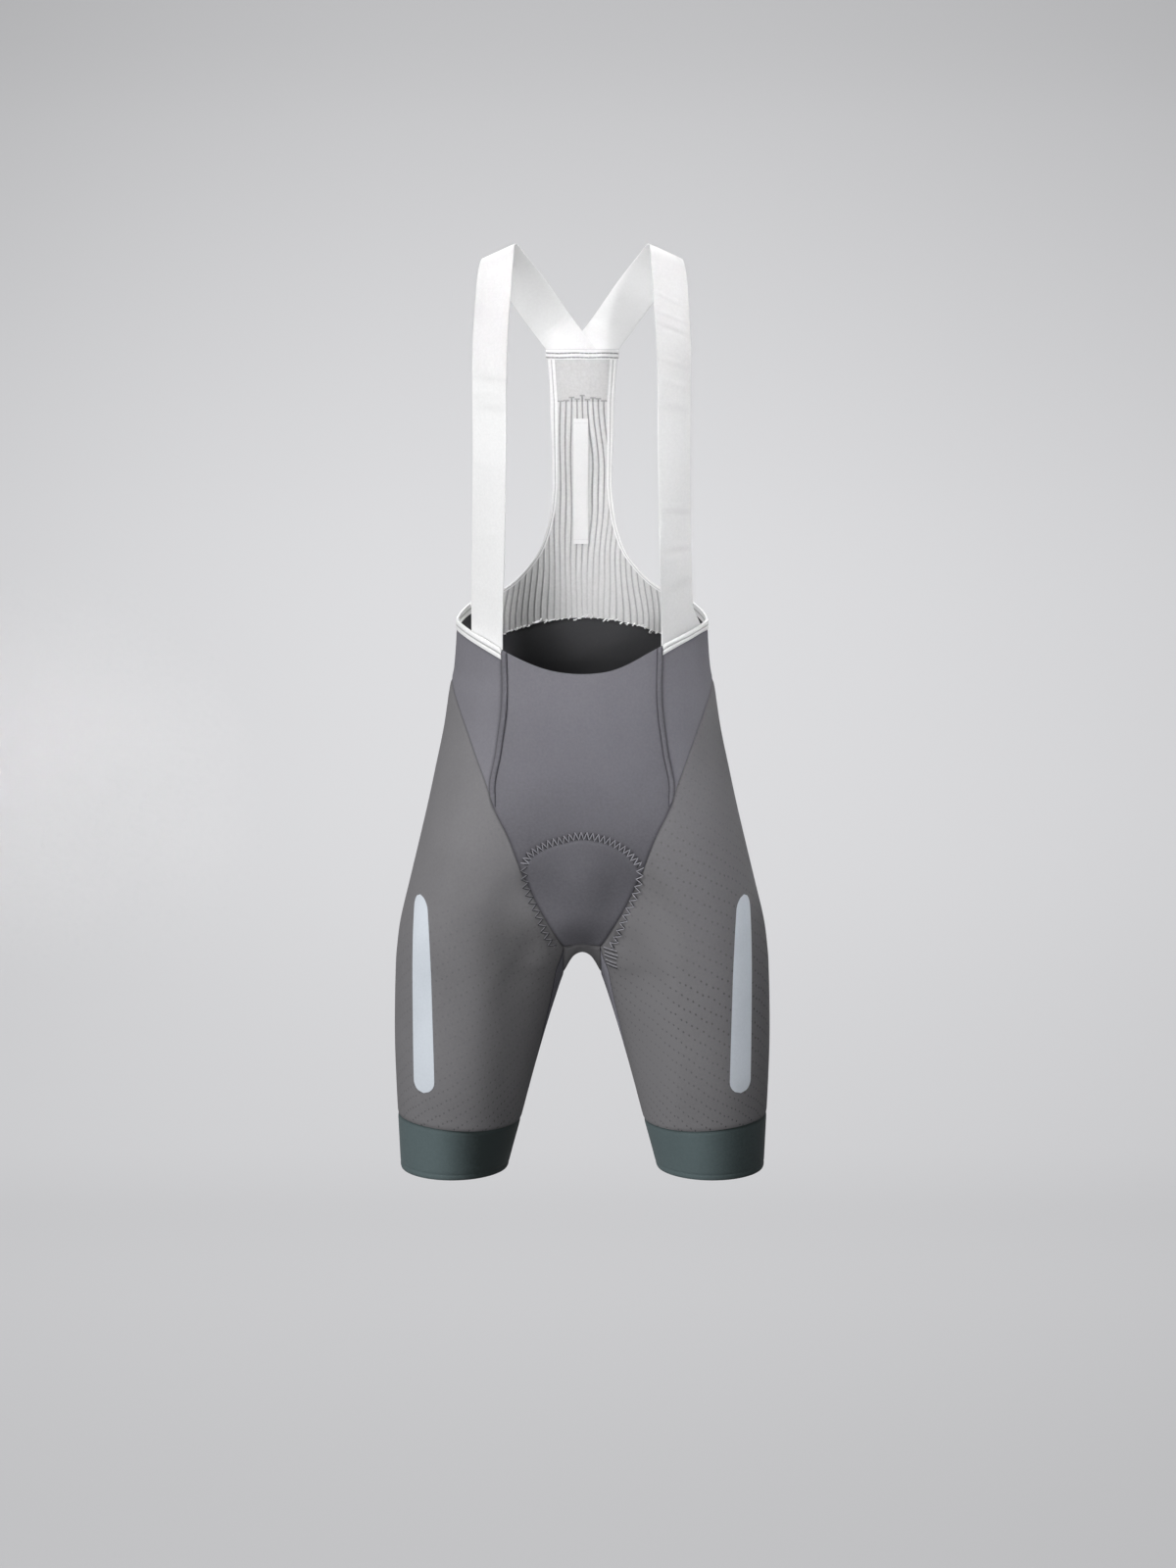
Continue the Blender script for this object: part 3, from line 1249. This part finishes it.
@dataclass
class BibBack:
    """The ribbed back, its yoke, top band and label."""

    cells_a_rib: int = 8
    neck_rows: int = 60
    flare_rows: int = 90
    rib_height: float = 1.0
    rib_ends: tuple[float, ...] = (0.5, 0.8, 1.4, 4.6, 3.0, 6.6, 2.4, 4.2, 3.4, 1.2, 0.6)
    left_shade: float = 0.02
    stitch_pitch: float = 4.4

    def rib_phase(self, x: Array, z: Array) -> Array:
        """Which rib each point lies on, with the ribs' sway as worn."""
        neck = 5.5 * smooth(x / 12) * smooth((RIB_TOP - z) / 70) * smooth((z + 330) / 60)
        hips = 7.0 * np.sign(x) * smooth((np.abs(x) - 22) / 50) * smooth((-330 - z) / 60)
        ripple = 0.5 * np.sin(z / 17.0 + x / 9.0)
        return (x - neck - hips - ripple) / RIB_PITCH

    def rib_relief(self, x: Array, z: Array) -> tuple[Array, Array]:
        """Height of the ribs, and how deep in a groove each point is."""
        groove = np.exp(-((np.abs((self.rib_phase(x, z) + 0.5) % 1 - 0.5) / 0.115) ** 2))
        return self.rib_height * (0.5 - groove), groove

    def ribs(self) -> bpy.types.Object:
        """The rib panel, its lower edge overlocked."""
        columns = round(2 * RIB_HALF / RIB_PITCH) * self.cells_a_rib
        x = np.linspace(-RIB_HALF, RIB_HALF, columns + 1)
        out = np.clip(np.abs(x), NECK_HALF, RIB_HALF)
        edge = np.where(np.abs(x) <= NECK_HALF, RIB_FLARE_TOP, rib_edge(out))
        neck = mix(RIB_TOP, edge, spaced(self.neck_rows)[:-1, None])
        flare = mix(edge, rib_bottom(x), spaced(self.flare_rows)[:, None])
        z = np.concatenate([neck, flare])
        z = z + self.hem_wave(x) * smooth(1 - (z - rib_bottom(x)) / 7)
        points = figure.at(Face.BACK, np.broadcast_to(x, z.shape), z)
        normals = figure.outward(points)
        relief, groove = self.rib_relief(points[..., 0], points[..., 2])
        tabs = smooth((RIB_TOP - z + 2) / 2)
        flat = 1 - 0.5 * smooth((-z - 300) / 60) * smooth((46 - np.abs(x)) / 30)
        relief = relief * tabs * flat + 0.2 * (1 - tabs)
        groove = groove * flat
        shade = 0.14 + self.left_shade * smooth((-x - 15) / 45)
        groove_shade = mix(0.70, 0.50, smooth((-z - 240) / 80))
        has = np.ones((len(z) - 1, columns), bool)
        middle = (x[:-1] + x[1:]) / 2
        has[:self.neck_rows] = np.abs(middle) < NECK_HALF
        flare_only = np.where((np.abs(x) > NECK_HALF)[None, :, None] & (np.arange(len(z)) < self.neck_rows)[:, None, None],
                              points[self.neck_rows], points)
        points = set_back(points, "lr")
        grid = Grid(points + normals * relief[..., None], points - normals * (CLOTH + relief)[..., None],
                    pair(points[..., 0], points[..., 2]), groove_shade * groove * tabs + shade, has=has, base=flare_only)
        return Piece("rib_panel", "white_rib", RIB_KNIT, RIB_KNIT, level=True,
                     extras=self.overlock()).sheet(grid)

    def hem_wave(self, x: Array) -> Array:
        """How far the lower edge of the ribs curls up and down along it."""
        return 1.1 * np.sin(x / 4.3) + 0.9 * np.sin(x / 2.6 + 1.0) + 0.6 * np.sin(x / 9.1 + 0.4)

    def overlock(self) -> list[bpy.types.Object]:
        """The overlock thread wound round the ribs' lower edge."""
        x = np.linspace(-RIB_HALF + 1, RIB_HALF - 1, 1200)
        edge = figure.at(Face.BACK, x, rib_bottom(x))
        normals = figure.outward(edge)
        wind = (x + 1.6 * np.sin(x / 5.1)) * 2 * math.pi / 5.2
        path = edge - normals * (CLOTH / 2 + 1.6 * np.sin(wind) + 0.3)[:, None]
        path[:, 0] += 2.6 * np.cos(wind)
        path[:, 2] += self.hem_wave(x) + 0.2 + (1.0 + 0.6 * np.sin(x / 3.7)) * np.cos(wind)
        return [Threads("white_rib", WHITE_THREAD, 0.75).place("rib_overlock_thread", [path])]

    def strip(self, half_top: float, half_bottom: float, top: float, bottom: float, columns: int,
              rows: int, middle: float = 0.0) -> Array:
        """A grid on the back between two heights."""
        v = spaced(rows, 0.3)[:, None]
        half = mix(half_top, half_bottom, v)
        x = middle + half * mix(-1, 1, spaced(columns, 0.3))
        return figure.at(Face.BACK, x, mix(top, bottom, v) + 0 * x)

    def yoke(self) -> bpy.types.Object:
        """The plain part above the ribs, with the ribs' uneven ends on it."""
        points = self.strip(YOKE_TOP_HALF, NECK_HALF, YOKE_TOP, RIB_TOP, 120, 90)
        x, z = points[..., 0], points[..., 2]
        _, groove = self.rib_relief(x, z)
        rib = np.floor(self.rib_phase(x, z) + 0.5)
        reach = np.interp(rib, np.arange(-5, 6), self.rib_ends)
        tab = smooth((RIB_TOP + reach - z) / 1.2)
        ripple = 0.25 * np.sin(x / 6) * np.sin(z / 9)
        cloth = worn(points, "lr", dip=0.4)
        normals = figure.outward(points)
        lift = (0.5 * tab * (1 - 1.5 * groove) + ripple)[..., None]
        cloth.outer, cloth.inner = cloth.outer + normals * lift, cloth.inner - normals * (lift - 2 * ripple[..., None])
        edge = np.exp(-(((z - RIB_TOP - reach) / 0.8) ** 2))
        cloth.pressed = np.maximum(0.70 * tab * groove, 0.40 * edge) + 0.3
        return Piece("yoke", "white_rib", RIB_KNIT, RIB_KNIT).sheet(cloth)

    def band(self) -> bpy.types.Object:
        """The folded band that takes the straps: two rolls with a pressed line by each."""
        points = self.strip(BAND_HALF, BAND_HALF, BAND_TOP, YOKE_TOP, 80, 40)
        v = spaced(40, 0.3)[:, None]
        wave = 0.04 * np.sin(points[..., 0] / 5.0)
        lines = np.exp(-(((v - 0.36 - wave) / 0.07) ** 2)) + np.exp(-(((v - 0.80 - wave) / 0.06) ** 2))
        relief = 0.9 * np.sin(np.pi * np.clip(v, 0.03, 0.97)) ** 0.4 - 0.9 * lines
        normals = figure.outward(points)
        pressed = np.clip(0.75 * lines, 0, 0.85)
        grid = Grid(points + normals * (0.3 + relief)[..., None], points - normals * (1.5 + relief)[..., None],
                    pair(points[..., 0], points[..., 2]), pressed)
        return Piece("top_band", "white_trim", TRIM_ELASTIC, TRIM_ELASTIC, extras=self.band_rows()).sheet(grid)

    def band_rows(self) -> list[bpy.types.Object]:
        """Two rows of stitches through the top band, seen on both of its faces."""
        made = []
        for down in (0.36, 0.80):
            for start in np.arange(-BAND_HALF + 1, BAND_HALF - 4, self.stitch_pitch):
                x = np.linspace(start, start + self.stitch_pitch * (0.78 + 0.12 * math.sin(start)), 4)
                z = mix(BAND_TOP, YOKE_TOP, down) + 0.25 * np.sin(x / 5.0)
                row = figure.at(Face.BACK, x, z)
                out = figure.outward(row)
                made += [row - out * 1.7, row + out * 0.5]
        return [Threads("white_trim", GREY_THREAD, 0.5).place("top_band_thread", made)]

    def label(self) -> bpy.types.Object:
        """The plain label on the body side of the ribs, its ends folded under."""
        points = self.strip(7.7, 7.7, -180.5, -310.6, 16, 120, middle=-1.5)
        z = points[..., 2]
        normals = figure.outward(points)
        across = (points[..., 0] + 1.5) / 7.7
        lift = CLOTH + self.rib_height * 0.5 + 0.35 + 0.3 * np.sin(z / 13) * (1 - 0.5 * across**2) + 0.25 * np.sin(z / 5)**2
        fold = np.exp(-(((-180.5 - z) / 2) ** 2)) + np.exp(-(((z + 310.6) / 2) ** 2))
        lift = lift + 0.5 * fold
        line = np.exp(-(((-185 - z) / 0.5) ** 2)) + np.exp(-(((z + 306) / 0.5) ** 2))
        base = points - normals * lift[..., None]
        grid = Grid(base, base - normals * LABEL_CLOTH, pair(points[..., 0], z), 0.3 * line)
        return Piece("label", "label_tape", LABEL_TAPE, LABEL_TAPE).sheet(grid)

    def build(self) -> None:
        """All pieces of the back."""
        self.ribs()
        self.yoke()
        self.band()
        self.label()


@dataclass
class Bindings:
    """Folded white elastic round the side of the waist and up the edge of the ribs."""

    rows: int = 16
    roll: float = 0.8

    def line(self) -> tuple[Array, Array]:
        """The seam under the left binding, and the binding's width along it."""
        waist = waist_edge(np.linspace(0, 1, 61))
        side = figure.round_leg(waist[:, 0], waist[:, 1])
        x = np.linspace(RIB_HALF, NECK_HALF, 81)[1:]
        flare = figure.at(Face.BACK, x, rib_edge(x))
        z = np.linspace(RIB_FLARE_TOP, YOKE_TOP, 53)[1:]
        rise = np.clip((z - RIB_TOP) / (YOKE_TOP - RIB_TOP), 0, 1)
        neck = figure.at(Face.BACK, mix(NECK_HALF, YOKE_TOP_HALF, rise), z)
        width = np.concatenate([np.full(61, WAIST_BINDING), np.interp(
            np.arange(1, 81), (1, 8, 60, 80), (WAIST_BINDING, 3.4, 3.4, 4.6)),
            np.interp(np.arange(52), (0, 30), (4.6, NECK_BINDING))])
        return np.concatenate([side, flare, neck]), width

    def build(self) -> None:
        """Both bindings."""
        line, width = self.line()
        normals = figure.outward(line)
        ahead = np.gradient(line, axis=0)
        up = unit(np.cross(normals, ahead))
        rise = 1 - spaced(self.rows, 0.3)
        points = line[None] + up[None] * (width[None] * rise[:, None])[..., None]
        z = mix(FRONT_WAIST, FRONT_EDGE, rise)
        points[:, 0] = figure.at(Face.FRONT, front_seam(z), z)
        for k in (1, 2):
            points[:, k] = mix(points[:, 0], points[:, 3], k / 3)
        points = figure.settle(points)
        two_rolls = np.abs(np.sin(2 * np.pi * np.clip(rise, 0.015, 0.985))) ** 0.55
        reach = along(line[None], 1)[0]
        tension = 1 + 0.08 * np.sin(reach / 11.0) + 0.05 * np.sin(reach / 4.3)
        relief = self.roll * two_rolls[:, None] * tension[None]
        pressed = 0.8 * np.exp(-(((rise - 0.5) / 0.07) ** 2))[:, None] + 0 * relief
        for side in ("left", "right"):
            base = drawn_up(mirrored(points) if side == "right" else points)
            out = figure.outward(base)
            grid = Grid(base + out * relief[..., None], base - out * (TRIM - 0.3), pair(*np.meshgrid(reach, rise * 10)), pressed)
            Piece(f"binding_{side}", "white_trim", TRIM_ELASTIC, TRIM_ELASTIC).sheet(grid)


@dataclass
class Straps:
    """Flat elastic straps from the waist over the shoulders, crossed at the top band."""

    rows: int = 420
    columns: int = 26
    flare: float = 33.0
    inset: float = TRIM + SEAM_GAP + STRAP_CLOTH / 2 + 0.1
    depth: float = 1.4
    ease: int = 12

    def edge(self, name: int, layer: float) -> Array:
        """One edge of the left strap at even steps of its table."""
        rows = STRAP[:, 3 * name:3 * name + 3].copy()
        on = np.isnan(rows[:, 1])
        placed = figure.at(Face.FRONT, rows[on, 0], rows[on, 2])
        rows[on] = placed - figure.outward(placed) * self.inset
        near_back = (STRAP[:, 0] < 50) & ~on
        rows[near_back, 1] += layer
        ends = [2 * rows[0] - rows[1], *rows, 2 * rows[-1] - rows[-2]]
        knots = np.array(ends)
        t = np.linspace(0, len(rows) - 1, self.rows + 1)
        i = np.minimum(t.astype(int), len(rows) - 2)
        w = (t - i)[:, None]
        p0, p1, p2, p3 = (knots[i + k] for k in range(4))
        d0, d1, d2 = (np.maximum(np.linalg.norm(b - a, axis=1), 1e-3)[:, None] ** 0.5
                      for a, b in ((p0, p1), (p1, p2), (p2, p3)))
        m1 = ((p1 - p0) / d0 - (p2 - p0) / (d0 + d1) + (p2 - p1) / d1) * d1
        m2 = ((p2 - p1) / d1 - (p3 - p1) / (d1 + d2) + (p3 - p2) / d2) * d1
        line = ((2 * w**3 - 3 * w**2 + 1) * p1 + (w**3 - 2 * w**2 + w) * m1
                + (3 * w**2 - 2 * w**3) * p2 + (w**3 - w**2) * m2)
        return self.eased(line)

    def eased(self, line: Array) -> Array:
        """The line with its bends between the table's rows evened out."""
        held = np.concatenate([np.repeat(line[:1], self.ease, 0), line, np.repeat(line[-1:], self.ease, 0)])
        window = np.hanning(2 * self.ease + 3)[1:-1]
        even = np.stack([np.convolve(held[:, k], window / window.sum(), "valid") for k in range(3)], -1)
        near_end = np.minimum(np.arange(len(line)), np.arange(len(line))[::-1]) / (2 * self.ease)
        return mix(line, even, smooth(near_end)[:, None])

    def build(self) -> None:
        """Both straps, the right one with more wear creases, as on the real pair."""
        for side, layer in (("left", 1.0), ("right", -1.0)):
            inner, outer = self.edge(0, layer), self.edge(1, layer)
            if side == "left":
                reach = along(outer[None], 1)[0]
                spread = smooth(1 - reach / 44)[:, None] ** 1.5
                aside = figure.settle(outer + self.flare * spread * np.array([0.72, 0.69, 0.0]))
                outer = mix(outer, aside - figure.outward(aside) * self.inset, np.minimum(spread * 20, 1))
            u = spaced(self.columns, 0.4)
            points = mix(inner[:, None], outer[:, None], u[None, :, None])
            across = points[:, -1:] - points[:, :1]
            ahead = np.gradient(points, axis=0)
            normals = unit(np.cross(np.broadcast_to(across, ahead.shape), ahead))
            reach = along(points, 0)
            length = reach.mean(axis=1, keepdims=True) + 0 * u
            relief, line = self.creases(side, length, u[None] + 0 * length)
            line = line + 0.5 * smooth((length - 210) / 150) * smooth((440 - length) / 25)
            line = line + (0.25 * smooth((130 - length) / 90) if side == "left" else 0.0)
            mid = points + normals * relief[..., None]
            if side == "right":
                mid, normals = mirrored(mid), mirrored(normals)
            half = STRAP_CLOTH / 2
            rounded = half * (0.35 + 0.65 * np.sin(np.pi * np.clip(u, 0.01, 0.99)) ** 0.25)[None, :, None]
            width = along(points, 1)
            grid = Grid(mid + normals * rounded, mid - normals * rounded, pair(width, length), line)
            Piece(f"strap_{side}", "strap_elastic", STRAP_ELASTIC, ELASTIC_BACK).sheet(grid)

    def creases(self, side: str, length: Array, u: Array) -> tuple[Array, Array]:
        """Soft creases slanting across a strap.

        Args:
            side: Which strap.
            length: Distance along it from the waist.
            u: 0 at the inner edge and 1 at the outer one.

        Returns:
            The relief and how pressed each point is.
        """
        table = {
            # distance from the waist, slant, width, height, and where across it is deepest
            "left": [(362, -9, 2.4, 0.5, 0.5), (343, -8, 2.2, 0.45, 0.5), (328, -9, 2.6, -0.4, 0.5),
                     (296, -9, 2.2, 0.5, 0.6), (275, -10, 2.8, 0.45, 0.6), (250, -6, 4, -0.3, 0.5),
                     (205, 8, 5, 0.3, 0.4), (151, -5, 2, 0.5, 0.6), (145, -6, 2, -0.5, 0.6),
                     (112, -4, 2.2, 0.5, 0.7), (106, -4, 2.2, -0.5, 0.5), (98, 3, 3, 0.4, 0.3),
                     (70, 6, 5, -0.35, 0.6), (45, -8, 6, 0.4, 0.5)],
            "right": [(284, 4, 3, 0.3, 0.5), (276, 3, 2.6, -0.3, 0.4), (262, -3, 3, 0.25, 0.6),
                      (246, 2, 3, -0.3, 0.4), (190, 5, 5, 0.25, 0.5), (118, -5, 4, 0.25, 0.5), (60, 6, 6, 0.3, 0.5)],
        }[side]
        relief, line = np.zeros_like(u), np.zeros_like(u)
        for start, slant, width, height, middle in table:
            off = (length - start - slant * (u - 0.5)) / width
            strength = np.exp(-(((u - middle) / 0.45) ** 2))
            fold = np.exp(-(off**2)) * strength
            relief += self.depth * height * fold
            line += 0.12 * fold * (height < 0)
        cup = 4 * (u - (0.25 if side == "left" else 0.5)) ** 2 * smooth((length - 40) / 80) * smooth((330 - length) / 60)
        return relief - cup * (1.1 if side == "left" else 0.4), line + (0.16 if side == "right" else 0.0)


@dataclass
class Studio:
    """Camera, pale backdrop and soft lights."""

    camera_place: tuple[float, float, float] = (0.006, -3.4, 0.0)
    camera_down: float = 9.205
    lens: float = 76.5
    tones: Array = field(default_factory=lambda: np.array([
        (0, 0.50), (8, 0.50), (8.48, 0.504), (8.85, 0.524), (9.34, 0.570), (9.92, 0.638), (10.58, 0.689),
        (11.02, 0.676), (11.36, 0.675), (11.66, 0.690), (11.94, 0.700), (12.2, 0.705), (12.45, 0.711),
        (12.7, 0.707), (12.95, 0.684), (13.19, 0.625), (13.43, 0.563), (13.62, 0.515), (13.76, 0.472),
        (13.89, 0.445), (14.2, 0.392), (18, 0.39)]))

    def camera(self) -> None:
        """The camera at the photograph's angle."""
        data = bpy.data.cameras.new("studio_camera")
        data.lens, data.sensor_width = self.lens, 36.0
        data.clip_start, data.clip_end = 0.1, 60.0
        made = bpy.data.objects.new("studio_camera", data)
        made.location = self.camera_place
        made.rotation_euler = (math.radians(90 - self.camera_down), 0, 0)
        bpy.context.scene.collection.objects.link(made)
        bpy.context.scene.camera = made

    def backdrop(self) -> None:
        """A pale floor that curves up into a wall."""
        floor, wall, bend = -2.0, 5.0, 1.6
        turn = np.linspace(0, math.pi / 2, 17)
        curve = pair(wall - bend + bend * np.sin(turn), floor + bend - bend * np.cos(turn))
        ahead = np.array([(y, floor) for y in (-7, 0, *np.arange(0.5, 3.3, 0.25))])
        rise = np.array([(wall, z) for z in (*np.arange(-0.3, 1.05, 0.1), 2, 5)])
        profile = np.concatenate([ahead, curve, rise])
        wide = 29
        x = np.linspace(-7, 7, wide)
        points = np.stack([np.broadcast_to(x, (len(profile), wide)), np.repeat(profile[:, :1], wide, 1),
                           np.repeat(profile[:, 1:], wide, 1)], -1)
        faces = [(j * wide + i, j * wide + i + 1, (j + 1) * wide + i + 1, (j + 1) * wide + i)
                 for j in range(len(profile) - 1) for i in range(wide - 1)]
        mesh = bpy.data.meshes.new("studio_floor")
        mesh.from_pydata(points.reshape(-1, 3).tolist(), [], faces)
        mesh.polygons.foreach_set("use_smooth", [True] * len(faces))
        reach = along(np.pad(profile, ((0, 0), (0, 1)))[None], 1)[0]
        tone = Curve(self.tones[:, 0], self.tones[:, 1])(reach)[:, None] * (
            1 - 0.045 * smooth((-x - 0.6) / 0.9) * smooth(reach - 10.5)[:, None])
        mesh.attributes.new("tone", "FLOAT", "POINT").data.foreach_set("value", tone.ravel().astype(np.float32))
        made = bpy.data.objects.new("studio_floor", mesh)
        bpy.context.scene.collection.objects.link(made)
        made.visible_diffuse = False
        paper = bpy.data.materials.new("studio_paper")
        paper.use_nodes = True
        tree = paper.node_tree
        tone = add(tree, "ShaderNodeAttribute", attribute_name="tone").outputs["Fac"]
        mixed = add(tree, "ShaderNodeMix", {0: tone, 6: (0, 0, 0, 1), 7: linear("#fdfdff")}, data_type="RGBA")
        tree.links.new(mixed.outputs[2], tree.nodes["Principled BSDF"].inputs["Base Color"])
        tree.nodes["Principled BSDF"].inputs["Roughness"].default_value = 1.0
        tree.nodes["Principled BSDF"].inputs["Specular IOR Level"].default_value = 0.0
        mesh.materials.append(paper)

    def light(self, name: str, place: tuple[float, float, float], aim: tuple[float, float, float],
              size: float, watts: float, spread: float = 180.0) -> None:
        """One soft square light.

        Args:
            name: Its name.
            place: Where it stands.
            aim: What it faces.
            size: Its side.
            watts: Its power.
            spread: How wide its grid lets the light out, in degrees.
        """
        data = bpy.data.lights.new(name, "AREA")
        data.shape, data.size, data.energy = "SQUARE", size, watts
        data.spread = math.radians(spread)
        made = bpy.data.objects.new(name, data)
        made.location = place
        way = np.array(aim) - np.array(place)
        flat = math.hypot(way[0], way[1])
        made.rotation_euler = (math.atan2(flat, -way[2]), 0, math.atan2(-way[0], way[1]))
        bpy.context.scene.collection.objects.link(made)

    def build(self) -> None:
        """The whole studio but its camera."""
        self.backdrop()
        self.light("key", (-2.95, -2.05, 1.5), (0.0, 0.0, -0.4), 1.5, 120.0)
        self.light("front", (-1.2, -3.8, -0.8), (0.0, 0.0, -0.4), 1.4, 60.0)
        self.light("upper", (2.6, -2.6, 0.6), (0.14, 0.0, -0.42), 0.6, 0.5, 12.0)
        self.light("crown", (0.9, -3.4, 0.9), (-0.05, 0.05, -0.04), 0.3, 0.15, 6.0)
        self.light("rim", (1.5, -1.9, 4.1), (0.0, 0.0, -0.5), 1.2, 108.0)
        self.light("wall", (0.0, 1.2, 2.6), (0.0, 5.0, -0.2), 2.5, 165.0)
        world = bpy.data.worlds.new("studio_air")
        world.use_nodes = True
        world.node_tree.nodes["Background"].inputs[0].default_value = linear("#f4f5f8")
        world.node_tree.nodes["Background"].inputs[1].default_value = 0.18
        bpy.context.scene.world = world
        bpy.context.scene.view_settings.view_transform = "Standard"


def main() -> None:
    """Builds the garment and the studio."""
    logging.basicConfig(level=logging.INFO, format="%(message)s")
    studio = Studio()
    studio.camera()
    middle = MiddlePanels()
    middle.front()
    middle.back()
    SidePanels().build()
    Legs().build()
    BibBack().build()
    Bindings().build()
    Straps().build()
    studio.build()


if __name__ == "__main__":
    main()
